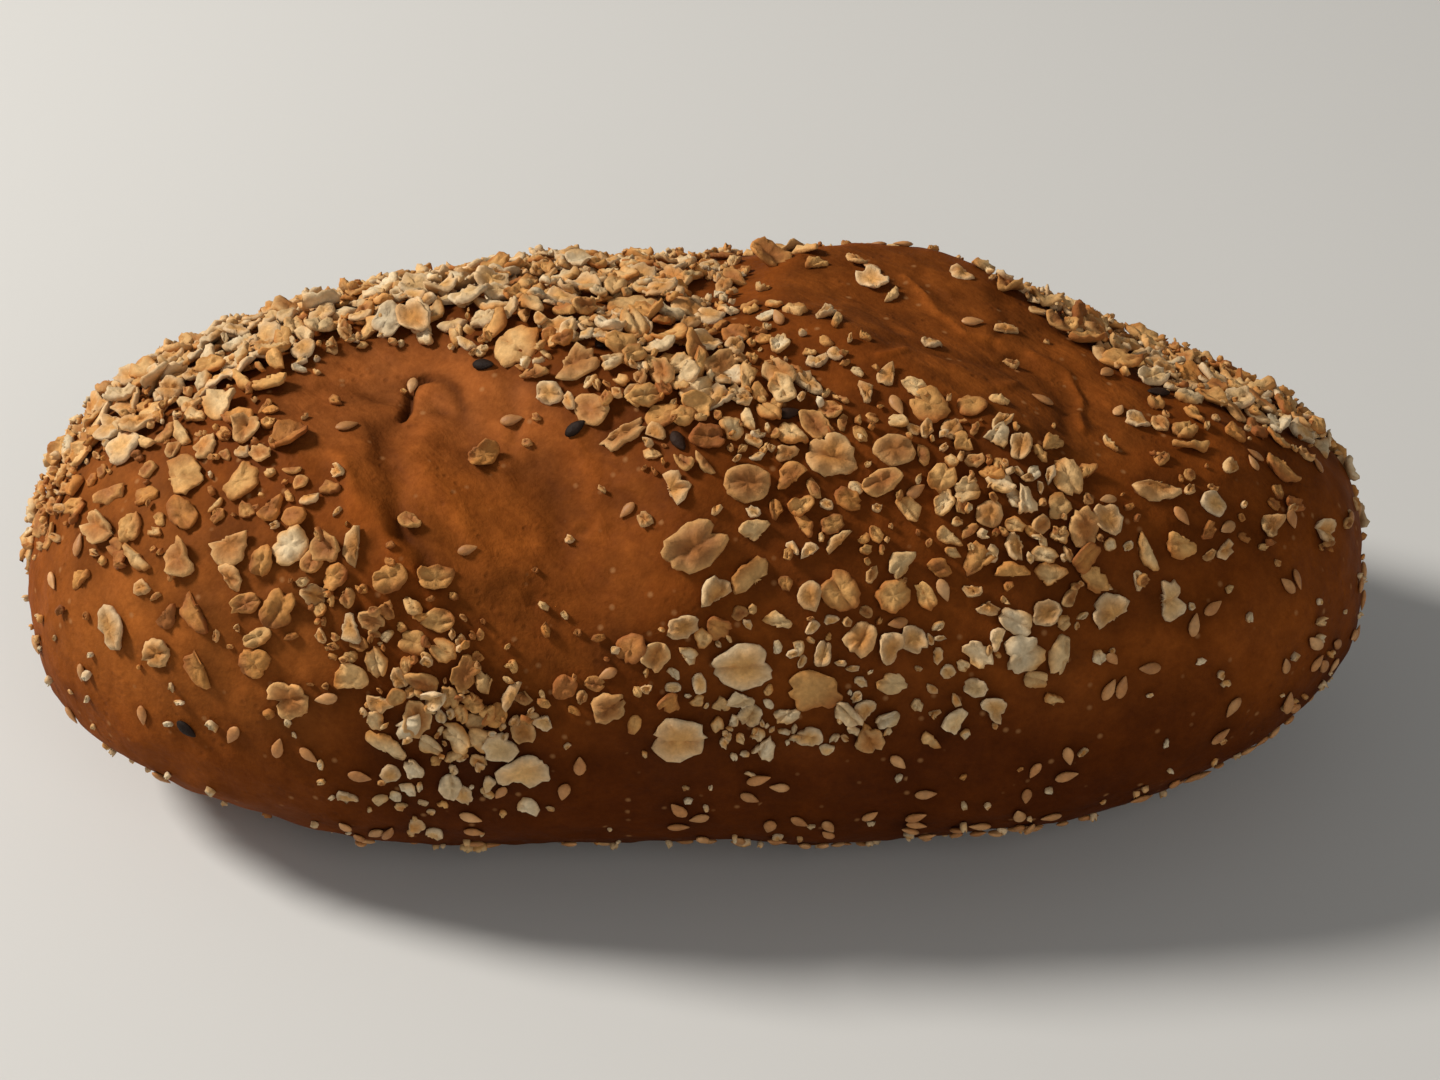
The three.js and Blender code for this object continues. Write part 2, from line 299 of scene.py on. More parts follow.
def remeshedBread():
    # an even skin of small squares over the CAD loaf, smoothed free of facets
    source = bpy.data.objects.new("breadDraft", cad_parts["bread_loaf"].data.copy())
    bpy.context.scene.collection.objects.link(source)
    remesh = source.modifiers.new("skin", "REMESH")
    remesh.mode = "VOXEL"
    remesh.voxel_size = crust["grain"] * mm
    soften = source.modifiers.new("soften", "SMOOTH")
    soften.factor = 0.5
    soften.iterations = crust["smoothing"]
    evaluated = source.evaluated_get(bpy.context.evaluated_depsgraph_get())
    mesh = evaluated.to_mesh()
    points = np.empty(len(mesh.vertices) * 3)
    mesh.vertices.foreach_get("co", points)
    faces = [tuple(face.vertices) for face in mesh.polygons]
    evaluated.to_mesh_clear()
    bpy.data.objects.remove(source)
    return points.reshape(-1, 3) / mm, faces


def gathered(quads, values, count):
    # what the squares round each point carry, added up
    return sum(np.bincount(quads[:, corner], values, count) for corner in range(4))


def normalsOf(points, faces):
    quads = np.array(faces)
    across = np.cross(points[quads[:, 2]] - points[quads[:, 0]], points[quads[:, 3]] - points[quads[:, 1]])
    total = np.stack([gathered(quads, part, len(points)) for part in across.T], axis=1)
    return total / np.linalg.norm(total, axis=1, keepdims=True)


def distanceToPath(points, path):
    # distance seen from above to a line of (x, y) points
    best = np.full(len(points), 1e9)
    flat = points[:, :2]
    for start, end in zip(path[:-1], path[1:]):
        a, b = np.array(start, float), np.array(end, float)
        t = np.clip(((flat - a) @ (b - a)) / ((b - a) @ (b - a)), 0, 1)
        best = np.minimum(best, np.linalg.norm(flat - a - t[:, None] * (b - a), axis=1))
    return best


def unevenness(points, size, offset):
    offset = Vector(offset)
    return np.array([noise.noise(Vector(p) / size + offset) for p in points])


def crustPlace(tree, along, swing):
    # the spot on the crust at x = along and the normal there
    angle = math.radians(swing)
    outward = Vector((0, -math.cos(angle), math.sin(angle)))
    start = Vector((along, 0, bellyHeight)) + outward * wellClear
    spot, normal, _, _ = tree.ray_cast(start, -outward)
    return spot, normal


def hollowness(points):
    # 1 in the middle of the bare hollows on top, 0 outside them
    inside = np.zeros(len(points))
    for ends, halfWidth in crust["hollows"]:
        near = distanceToPath(points, ends) / halfWidth
        inside = np.maximum(inside, ease(near, *crust["hollowEdge"]))
    return inside * ease(points[:, 2], *crust["hollowHeight"])


def addLumps(rise):
    # lumps all over, and fine streaks in the hollows
    for k, (size, height) in enumerate(crust["lumps"]):
        rise += unevenness(points, size, (7.3 * k, 1.9, 4.1)) * height * (1 - crust["calm"] * bare)
    streaks = crust["streaks"]
    way = math.radians(streaks["way"])
    stretched = np.stack([
        (points[:, 0] * math.cos(way) + points[:, 1] * math.sin(way)) / streaks["length"],
        (points[:, 1] * math.cos(way) - points[:, 0] * math.sin(way)) / streaks["width"],
        points[:, 2] / streaks["tall"]], 1)
    rise += unevenness(stretched, 1.0, (2.2, 4.4, 0)) * streaks["height"] * bare


def addFolds(rise, shade):
    onTop = ease(points[:, 2], *crust["foldHeight"])
    for path, width, depth, dark in crust["folds"]:
        near = distanceToPath(warped, path) / width
        rise -= depth * np.exp(-near ** 2) * onTop
        # painted shade along the fold, or a painted highlight on a ridge where dark is below zero
        shade += dark * np.exp(-(near / crust["foldShade"]) ** 2) * onTop


def addPits(rise, shade):
    for along, swing, radius, depth in crust["pits"]:
        spot, _ = crustPlace(tree, along, swing)
        near = np.linalg.norm(warped - np.array(spot), axis=1) / radius
        rise -= depth * np.exp(-near ** 2)
        shade += crust["pitDark"] * np.exp(-near ** 2)


def dentBase(points, shade):
    dents = crust["baseDents"]
    rng = random.Random(3)
    under = np.flatnonzero(points[:, 2] < dents["below"])
    for _ in range(dents["count"]):
        middle = points[under[rng.randrange(len(under))]]
        near = np.linalg.norm(warped[under, :2] - middle[:2], axis=1) / rng.uniform(*dents["radius"])
        hollowUp = np.exp(-near ** 2)
        spare = (1 - points[under, 2] / dents["limit"]).clip(0, 1)
        points[under, 2] += rng.uniform(*dents["depth"]) * hollowUp * spare
        # painted shade in the dent
        shade[under] += dents["dark"] * hollowUp


points, faces = remeshedBread()
normals = normalsOf(points, faces)
print("crust skin:", len(points), "points")

bare = hollowness(points)
wander = crust["wander"]
warped = points.copy()
for axis, offset in enumerate(((3.1, 0, 0), (0, 8.7, 0))):
    warped[:, axis] += wander["reach"] * unevenness(points, wander["size"], offset)
tree = BVHTree.FromPolygons(points.tolist(), faces)
rise, creaseShade = np.zeros(len(points)), np.zeros(len(points))
addLumps(rise)
addFolds(rise, creaseShade)
addPits(rise, creaseShade)
points = points + normals * (rise * ease(points[:, 2], *crust["baseEdge"]))[:, None]
points[:, 2] = np.maximum(points[:, 2], 0.0)
dentBase(points, creaseShade)

# what laying the topping needs: the shaped crust, its points by place, and their swings
normals = normalsOf(points, faces)
tree = BVHTree.FromPolygons(points.tolist(), faces)
spotFinder = KDTree(len(points))
for i, point in enumerate(points):
    spotFinder.insert(point, i)
spotFinder.balance()
swings = np.degrees(np.arctan2(points[:, 2] - bellyHeight, -points[:, 1]))
print("crust shaped")


def anyTurn(rng):
    return rng.uniform(0, fullTurn)


def oatShape(seed, kind, around):
    # one rolled oat lying flat, reaching about 1 each way from its middle and 1 thick, with numbers that say
    # how near each point is to the edge and to the groove
    rng = random.Random(seed)
    # the outline: waves round it, notches (where, depth, width) and straight breaks (which way, how far out)
    waves = [(k, rng.uniform(-1, 1) * 0.2 / k ** 0.9, anyTurn(rng)) for k in (2, 3, 4, 5, 7)]
    notches = [(rng.gauss(0, 0.2), rng.uniform(0.0, 0.24), 0.17),
               (math.pi + rng.gauss(0, 0.2), rng.uniform(0.0, 0.16), 0.2)]
    for _ in range(rng.choice((1, 1, 2, 3))):
        notches.append((anyTurn(rng), rng.uniform(0.06, 0.26), rng.uniform(0.14, 0.35)))
    breaks = []
    if kind == "broken":
        breaks = [(anyTurn(rng), rng.uniform(0.15, 0.7)) for _ in range(rng.choice((1, 2)))]
    if kind == "half":
        breaks = [(math.pi / 2 * rng.choice((1, -1)), rng.uniform(0.0, 0.16))]
    turns = [2 * math.pi * (j + rng.uniform(-0.2, 0.2)) / around for j in range(around)]
    outline = []
    for turn in turns:
        reach = 1 + sum(size * math.cos(k * turn + phase) for k, size, phase in waves)
        reach += rng.uniform(-0.055, 0.055)
        for at, depth, width in notches:
            gap = (turn - at + math.pi) % (2 * math.pi) - math.pi
            reach -= depth * math.exp(-((gap / width) ** 2))
        for at, limit in breaks:
            facing = math.cos(turn - at)
            if facing > 0.05:
                reach = min(reach, (limit + rng.uniform(-0.07, 0.07)) / facing)
        outline.append(max(reach, 0.12))
    # rings from the middle of the top, over the rim, to the underside: share of the reach, and height
    top = [(0.3, 1.0), (0.56, 0.98), (0.77, 0.93), (0.92, 0.8), (1.0, 0.42)]
    under = [(0.93, 0.05), (0.6, 0.0)]
    bend, bendWay = rng.uniform(-0.1, 0.16), rng.uniform(0, math.pi)
    twist = rng.uniform(-0.2, 0.2)
    cup = 0.22 if kind == "cup" else rng.choice((0.0, 0.0, 0.08))
    ruffles = [(k, rng.uniform(0.0, 0.07), anyTurn(rng)) for k in (2, 3, 5)]
    if kind == "curled":
        bend = rng.uniform(0.4, 0.6)
    grooveDepth = rng.choice((0.1, 0.25, 0.5, 0.6))
    grooveBow, lobeHeight = rng.uniform(-0.16, 0.16), rng.uniform(0.0, 0.35)
    shapePoints, edge = [], []
    for share, height in top + under:
        for turn, reach in zip(turns, outline):
            shapePoints.append([share * reach * math.cos(turn), share * reach * math.sin(turn), height])
            edge.append(share ** 3)
    shapePoints += [[0, 0, 1.0], [0, 0, 0.0]]
    edge += [0.0, 0.0]
    groove = []
    for p in shapePoints:
        across = p[1] - grooveBow * (1 - p[0] ** 2)
        dip = math.exp(-((across / 0.1) ** 2)) * (grooveDepth / 0.6)
        lobes = math.exp(-(((abs(across) - 0.42) / 0.3) ** 2))
        groove.append(dip)
        if p[2] > 0.3:
            grain = noise.noise(Vector((p[0] * 2.4, p[1] * 3.6, seed * 1.7)))
            bumps = noise.noise(Vector((p[0] * 6.1, p[1] * 6.1, seed * 2.3)))
            p[2] += lobeHeight * lobes - 0.6 * dip + 0.6 * grain + 0.35 * bumps
        slope = p[0] * math.cos(bendWay) + p[1] * math.sin(bendWay)
        out, turn = math.hypot(p[0], p[1]), math.atan2(p[1], p[0])
        wave = sum(size * math.sin(k * turn + phase) for k, size, phase in ruffles)
        # a fourth number, the bend, is kept apart from the thickness
        p.append(bend * slope ** 2 + twist * p[0] * p[1] + cup * out ** 3 + wave * out ** 2)
    return {"points": np.array(shapePoints), "faces": ringFaces(len(top) + len(under), around),
            "edge": np.array(edge), "groove": np.array(groove)}


def ringFaces(rows, around):
    # quads between rings of points, and a fan onto one last point at each end
    shapeFaces = []
    for i in range(rows - 1):
        for j in range(around):
            k = (j + 1) % around
            a, b = i * around + j, i * around + k
            shapeFaces.append((a, a + around, b + around, b))
    for j in range(around):
        k = (j + 1) % around
        last = (rows - 1) * around
        shapeFaces.append((rows * around, j, k))
        shapeFaces.append((rows * around + 1, last + k, last + j))
    return shapeFaces


def seedShape(seed, point, ridge, around=12, rows=7):
    # an egg with one pointed end and a ridge along it, of the same size and make as an oat's shape
    rng = random.Random(seed)
    shapePoints, edge = [], []
    lean = rng.uniform(-0.08, 0.08)
    for i in range(rows):
        slope = math.pi * (i + 0.5) / rows
        for j in range(around):
            turn = 2 * math.pi * j / around
            x = math.cos(slope)
            wide = math.sin(slope) * (1 - point * max(0.0, x + 0.15))
            y, z = wide * math.cos(turn), wide * math.sin(turn)
            z += ridge * math.exp(-((y / 0.2) ** 2)) * (1 if z > 0 else 0)
            shapePoints.append([x, y + lean * x * x, 0.5 + 0.5 * z, 0.0])
            edge.append(abs(x) ** 3)
    shapePoints += [[1.0, lean, 0.5, 0], [-1.0, lean, 0.5, 0]]
    edge += [1.0, 1.0]
    return {"points": np.array(shapePoints), "faces": ringFaces(rows, around),
            "edge": np.array(edge), "groove": np.zeros(len(edge))}


shapeKinds = {
    # how many different shapes there are of each, the kinds they go through, the first seed, points round
    "disc": {"count": 45, "first": 1, "around": 22,
             "kinds": ("whole", "broken", "whole", "cup", "half", "broken", "whole", "broken", "curled")},
    "bit": {"count": 30, "first": 201, "around": 13, "kinds": ("broken", "half", "broken", "whole")},
    "crumb": {"count": 16, "first": 101, "around": 8, "kinds": ("broken",)},
}
seedKinds = {
    # the same, with how pointed one end is and how high the ridge
    "sesame": {"count": 6, "first": 0, "point": 0.5, "ridge": 0.0},
    "linseed": {"count": 4, "first": 20, "point": 0.32, "ridge": 0.05},
}
shapes = {}
for name, make in shapeKinds.items():
    shapes[name] = [oatShape(make["first"] + k, make["kinds"][k % len(make["kinds"])], make["around"])
                    for k in range(make["count"])]
for name, make in seedKinds.items():
    shapes[name] = [seedShape(make["first"] + k, make["point"], make["ridge"]) for k in range(make["count"])]

stack = np.zeros(len(points))        # how high the topping already is over each point of the crust, mm
reserved = np.zeros(len(points))     # 1 under the pieces that must stay in view
laying = {
    "search": 0.8,    # mm round a piece that points of the crust are looked for
    "margin": 0.2,    # mm round a piece that counts as under it
    "fewest": 3,      # points of the crust that a piece needs under it
    "covering": 0.3,  # mm of topping that counts as covered
    "deepest": 1.7,   # mm of topping, on the average, that no more is laid on
    "overlap": 0.15,  # share of a piece that may lie over a piece kept in view
    "steepest": 0.5,  # slope that a piece takes from what is under it
    "rests": 68,      # per cent of the ground under a piece that is below it
}


def lieOn(normal, turn):
    # two directions in the crust's plane, the first turned from the loaf's long way
    along = np.cross(np.array([0.0, 1.0, 0.0]), normal)
    if np.linalg.norm(along) < 0.2:
        along = np.cross(normal, np.array([0.0, 0.0, 1.0]))
    along /= np.linalg.norm(along)
    across = np.cross(normal, along)
    c, s = math.cos(turn), math.sin(turn)
    return c * along + s * across, c * across - s * along


def layDown(spot, normal, turn, size, shape, sink=0.12, tip=(0.0, 0.0), settle=True, keepClear=False,
            most=1.0):
    # lands a shape of size (length, width, thickness) on whatever is under it and returns its points, or
    # None if more than the share "most" is covered already or too high; tip adds a slope along and across
    halfLength, halfWidth, thickness = size[0] / 2, size[1] / 2, size[2]
    spot, normal = np.array(spot), np.array(normal)
    along, across = lieOn(normal, turn)
    reach = max(halfLength, halfWidth) + laying["search"]
    found = [i for _, i, _ in spotFinder.find_range(Vector(spot), reach)]
    away = points[found] - spot
    u, v, h = away @ along, away @ across, away @ normal
    inside = (u / (halfLength + laying["margin"])) ** 2 + (v / (halfWidth + laying["margin"])) ** 2 < 1
    if inside.sum() < laying["fewest"]:
        return None
    found = np.array(found)[inside]
    u, v, h = u[inside], v[inside], h[inside]
    if (stack[found] > laying["covering"]).mean() > most or stack[found].mean() > laying["deepest"]:
        return None
    if reserved[found].mean() > laying["overlap"] and not keepClear:
        return None
    top = h + stack[found]
    alongSlope, acrossSlope = tip
    if settle:
        base = np.stack([np.ones(len(u)), u, v], axis=1)
        _, leanAlong, leanAcross = np.linalg.lstsq(base, top, rcond=None)[0]
        alongSlope += float(np.clip(leanAlong, -laying["steepest"], laying["steepest"]))
        acrossSlope += float(np.clip(leanAcross, -laying["steepest"], laying["steepest"]))
    level = np.percentile(top - (alongSlope * u + acrossSlope * v), laying["rests"]) - sink
    plane = level + alongSlope * u + acrossSlope * v
    stack[found] = np.maximum(stack[found], plane + thickness - h)
    if keepClear:
        reserved[found] = 1
    facing = normal - alongSlope * along - acrossSlope * across
    facing /= np.linalg.norm(facing)
    longWay = along + alongSlope * normal
    longWay /= np.linalg.norm(longWay)
    wideWay = np.cross(facing, longWay)
    local = shape["points"]
    high = local[:, 2] * thickness + local[:, 3] * halfLength
    return (spot + normal * level + np.outer(local[:, 0] * halfLength, longWay)
            + np.outer(local[:, 1] * halfWidth, wideWay) + np.outer(high, facing))


def buildHeap(name, heap, material):
    # makes one piece of a list of laid shapes: the points, the shape and the colours of each
    places, heapShapes, colours = zip(*heap)
    heapFaces, count = [], 0
    for laid, shape in zip(places, heapShapes):
        heapFaces += [tuple(i + count for i in face) for face in shape["faces"]]
        count += len(laid)
    piece = meshPiece(name, np.concatenate(places), heapFaces, material)
    for layer in ("edge", "groove"):
        paintNumbers(piece, layer, np.concatenate([shape[layer] for shape in heapShapes]))
    paintColours(piece, "tone", np.concatenate(colours))
    return piece


tones = {
    # linear colours of flakes and seeds, from pale to toasted
    "oat": [(0.72, 0.59, 0.39), (0.70, 0.485, 0.235), (0.65, 0.365, 0.12), (0.55, 0.245, 0.055),
            (0.34, 0.12, 0.024)],
    "sesame": [(0.61, 0.35, 0.155), (0.55, 0.275, 0.10), (0.45, 0.195, 0.06)],
    "linseed": [(0.012, 0.007, 0.005), (0.034, 0.015, 0.008)],
}


def toneBetween(kind, place):
    # place 0 is the palest, 1 the most toasted
    steps = tones[kind]
    at = min(max(place, 0.0), 0.999) * (len(steps) - 1)
    k = int(at)
    return np.array(steps[k]) * (1 - at + k) + np.array(steps[k + 1]) * (at - k)


def pieceColours(shape, kind, place, rng):
    # colours of one flake or seed, point by point
    plain = toneBetween(kind, place)
    pale, warm = toneBetween(kind, place - 0.2), toneBetween(kind, place + 0.36)
    style = rng.random()
    if style < 0.5:           # half of them have a toasted heart
        heart, rim, blend = warm, pale, shape["edge"]
    elif style < 0.64:        # one in seven a toasted rim
        heart, rim, blend = plain, warm, shape["edge"]
    else:
        way = anyTurn(rng)
        side = shape["points"][:, 0] * math.cos(way) + shape["points"][:, 1] * math.sin(way)
        heart, rim, blend = plain, warm, ease(side, 0.0, 1.0)
    return (heart + (rim - heart) * blend[:, None]) * rng.uniform(0.88, 1.1)


crustLook = {
    # clouds, fine grain and finest grain: how many to the metre, detail and roughness, the part of the noise
    # that shows, and the tints of its low and its high places
    "grains": [
        (55.0, 6.0, 0.62, (0.3, 0.72), (0.74, 0.70, 0.66), (1.18, 1.2, 1.24)),
        (420.0, 5.0, 0.7, (0.28, 0.75), (0.80, 0.77, 0.74), (1.13, 1.18, 1.28)),
        (1250.0, 3.0, 0.6, (0.3, 0.72), (0.91, 0.90, 0.89), (1.08, 1.09, 1.10)),
    ],
    # smeared stretch marks in the open hollows, their size in metres and their tints
    "smears": {"size": (0.0052, 0.0021, 0.004), "bend": 1.2, "shown": (0.32, 0.7),
               "low": (0.90, 0.88, 0.87), "high": (1.10, 1.12, 1.18)},
    # pores in patches, painted darker as painted shade in them, and flour on one speck in ten
    "pores": {"scale": 620.0, "size": (0.12, 0.36), "patches": (130.0, 2.0), "shown": (0.5, 0.66),
              "amount": 0.2, "colour": (0.05, 0.012, 0.003)},
    "flour": {"scale": 560.0, "size": (0.1, 0.32), "rare": 0.9, "amount": 0.5, "colour": (0.40, 0.19, 0.07)},
    "roughness": (0.62, 0.84), "shine": 0.045,
    # how far the skin, the stretch marks and the pores stand out or in: metres, and strength
    "relief": {"skin": (0.0009, 0.45), "smears": (0.0006, 0.16), "pores": (0.0004, 0.3)},
}


def crustMaterial():
    board = NodeBoard("bakedCrust")
    smears, pores, flour, relief = (crustLook[key] for key in ("smears", "pores", "flour", "relief"))
    base = board.colour("tone")
    for scale, detail, roughness, shown, low, high in crustLook["grains"]:
        base = board.tint(base, board.spread(board.noise(scale, detail, roughness), *shown), low, high)
    turned = board.add("ShaderNodeMapping", {"vector_type": "TEXTURE"}, Vector=board.place,
                       Rotation=(0, 0, math.radians(crust["streaks"]["way"])), Scale=smears["size"])
    smeared = board.add("ShaderNodeTexNoise", Vector=turned.outputs[0], Scale=1.0, Detail=3.0,
                        Distortion=smears["bend"]).outputs["Fac"]
    marks = board.math("MULTIPLY", board.spread(smeared, *smears["shown"]), board.number("bare"))
    base = board.mix(board.number("bare"), base, board.tint(base, marks, smears["low"], smears["high"]))
    dots = board.spread(board.cells(pores["scale"])["Distance"], *pores["size"], 1, 0)
    poreShade = board.math("MULTIPLY", dots, board.spread(board.noise(*pores["patches"]), *pores["shown"]))
    # painted shade in the pores
    base = board.mix(board.math("MULTIPLY", poreShade, pores["amount"]), base, pores["colour"])
    specks = board.cells(flour["scale"])
    chance = board.add("ShaderNodeSeparateColor", Color=specks["Color"]).outputs[0]
    dust = board.math("MULTIPLY", board.spread(specks["Distance"], *flour["size"], 1, 0),
                      board.math("GREATER_THAN", chance, flour["rare"]))
    base = board.mix(board.math("MULTIPLY", dust, flour["amount"]), base, flour["colour"])
    roughness = board.spread(board.noise(90.0, 4.0), 0.3, 0.7, *crustLook["roughness"])
    skin = board.bump(board.noise(260.0, 6.0, 0.66), *relief["skin"])
    stretched = board.bump(marks, *relief["smears"], skin)
    pitted = board.bump(board.math("SUBTRACT", 1.0, poreShade), *relief["pores"], stretched)
    return board.finish(base, roughness, crustLook["shine"], pitted)


flakeLooks = {
    # each material: how rough, the tint of its worn edges, how deep its grain, how shiny
    "toastedOat": (0.78, (0.92, 0.66, 0.40), 0.5, 0.3),
    "sesameHull": (0.55, (0.85, 0.70, 0.52), 0.2, 0.3),
    "linseedHull": (0.6, (0.8, 0.8, 0.8), 0.5, 0.12),
}
flakeWear = {"blotches": ((0.80, 0.75, 0.68), (1.1, 1.1, 1.12)), "edge": (0.15, 0.75), "groove": 0.55,
             "grooveTint": (0.62, 0.50, 0.38), "grain": (0.86, 1.08), "uneven": 0.08, "relief": 0.0005}


def flakeMaterial(name):
    roughness, edgeTint, grainDepth, shine = flakeLooks[name]
    board = NodeBoard(name)
    blotch = board.spread(board.noise(330.0, 4.0, 0.6), 0.32, 0.7)
    base = board.tint(board.colour("tone"), blotch, *flakeWear["blotches"])
    ragged = board.spread(board.noise(210.0, 2.0), 0.38, 0.64, *flakeWear["edge"])
    rim = board.math("MULTIPLY", board.number("edge"), ragged)
    base = board.mix(rim, base, board.mix(1.0, base, edgeTint, "MULTIPLY"))
    base = board.mix(board.math("MULTIPLY", board.number("groove"), flakeWear["groove"]), base,
                     board.mix(1.0, base, flakeWear["grooveTint"], "MULTIPLY"))
    fine = board.spread(board.noise(1500.0, 3.0), 0.35, 0.7, *flakeWear["grain"])
    grey = board.add("ShaderNodeCombineColor", Red=fine, Green=fine, Blue=fine).outputs[0]
    base = board.mix(1.0, base, grey, "MULTIPLY")
    uneven = flakeWear["uneven"]
    dull = board.spread(board.noise(500.0, 2.0), 0.3, 0.7, roughness - uneven, roughness + uneven)
    grain = board.bump(board.noise(900.0, 5.0, 0.7), flakeWear["relief"], grainDepth)
    return board.finish(base, dull, shine, grain)


crustPaint = crustMaterial()
oatPaint, sesamePaint, linseedPaint = (flakeMaterial(name) for name in flakeLooks)
print("materials made")


# how each numbered rolled oat of the CAD model looks: kind, and tone from 0 floury to 1 toasted
oatLooks = [
    ("whole", 0.62), ("whole", 0.22), ("whole", 0.16), ("whole", 0.55), ("half", 0.45), ("whole", 0.55),
    ("broken", 0.55), ("whole", 0.42), ("broken", 0.34), ("whole", 0.62), ("broken", 0.52), ("whole", 0.45),
    ("whole", 0.40), ("cup", 0.8), ("half", 0.48), ("whole", 0.04), ("half", 0.22), ("broken", 0.25),
    ("broken", 0.06), ("broken", 0.50), ("broken", 0.55), ("whole", 0.06), ("broken", 0.48), ("half", 0.66),
    ("whole", 0.55), ("half", 0.78), ("whole", 0.28), ("whole", 0.46), ("half", 0.72), ("whole", 0.70),
    ("whole", 0.60), ("curled", 0.72), ("curled", 0.22), ("broken", 0.50), ("half", 0.20), ("whole", 0.10),
    ("half", 0.64), ("curled", 0.74),
]


def nodeFrame(name):
    # a CAD piece's place on the crust in mm, the crust's normal there, the ways its length and its face
    # point, and its length, width and thickness
    vertices = np.array([v.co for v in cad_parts[name].data.vertices]) / mm
    middle = (vertices.min(0) + vertices.max(0)) / 2
    spot, normal, _, _ = tree.find_nearest(Vector(middle))
    _, _, ways = np.linalg.svd(vertices - vertices.mean(0), full_matrices=False)
    spans = np.ptp((vertices - middle) @ ways.T, axis=0)
    facing = ways[2] * (1 if ways[2] @ np.array(normal) > 0 else -1)
    return spot, np.array(normal), ways[0], facing, spans


def layNodePieces():
    rng = random.Random(5)
    for node in sorted(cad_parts):
        family, number = node.rsplit("_", 1)
        if family == "bread":
            continue
        spot, normal, direction, facing, spans = nodeFrame(node)
        flat, side = lieOn(normal, 0.0)
        turn = math.atan2(direction @ side, direction @ flat)
        along, across = lieOn(normal, turn)
        tip = (-(facing @ along) / (facing @ normal), -(facing @ across) / (facing @ normal))
        if family == "oat_flake":
            kind, toasted = oatLooks[int(number) - 1]
            shape, paint, slotName = oatShape(int(number) + 300, kind, 30), oatPaint, "oat"
            size = (spans[0] * 1.06, spans[1] * 1.06, rng.uniform(0.8, 1.05))
        else:
            slotName, toasted = family.split("_")[0], rng.random()
            paint = sesamePaint if slotName == "sesame" else linseedPaint
            shape = rng.choice(shapes[slotName])
            size = (spans[0], spans[1], spans[1] * 0.5)
        laid = layDown(spot, normal, turn, size, shape, tip=tip, settle=False, keepClear=True)
        words = node.split("_")
        name = words[0] + "".join(word.title() for word in words[1:])
        heap = [(laid, shape, pieceColours(shape, slotName, toasted, rng))]
        piece = buildHeap(name, heap, paint)
        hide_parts(node)


layNodePieces()
print("pieces of the CAD model replaced one for one")


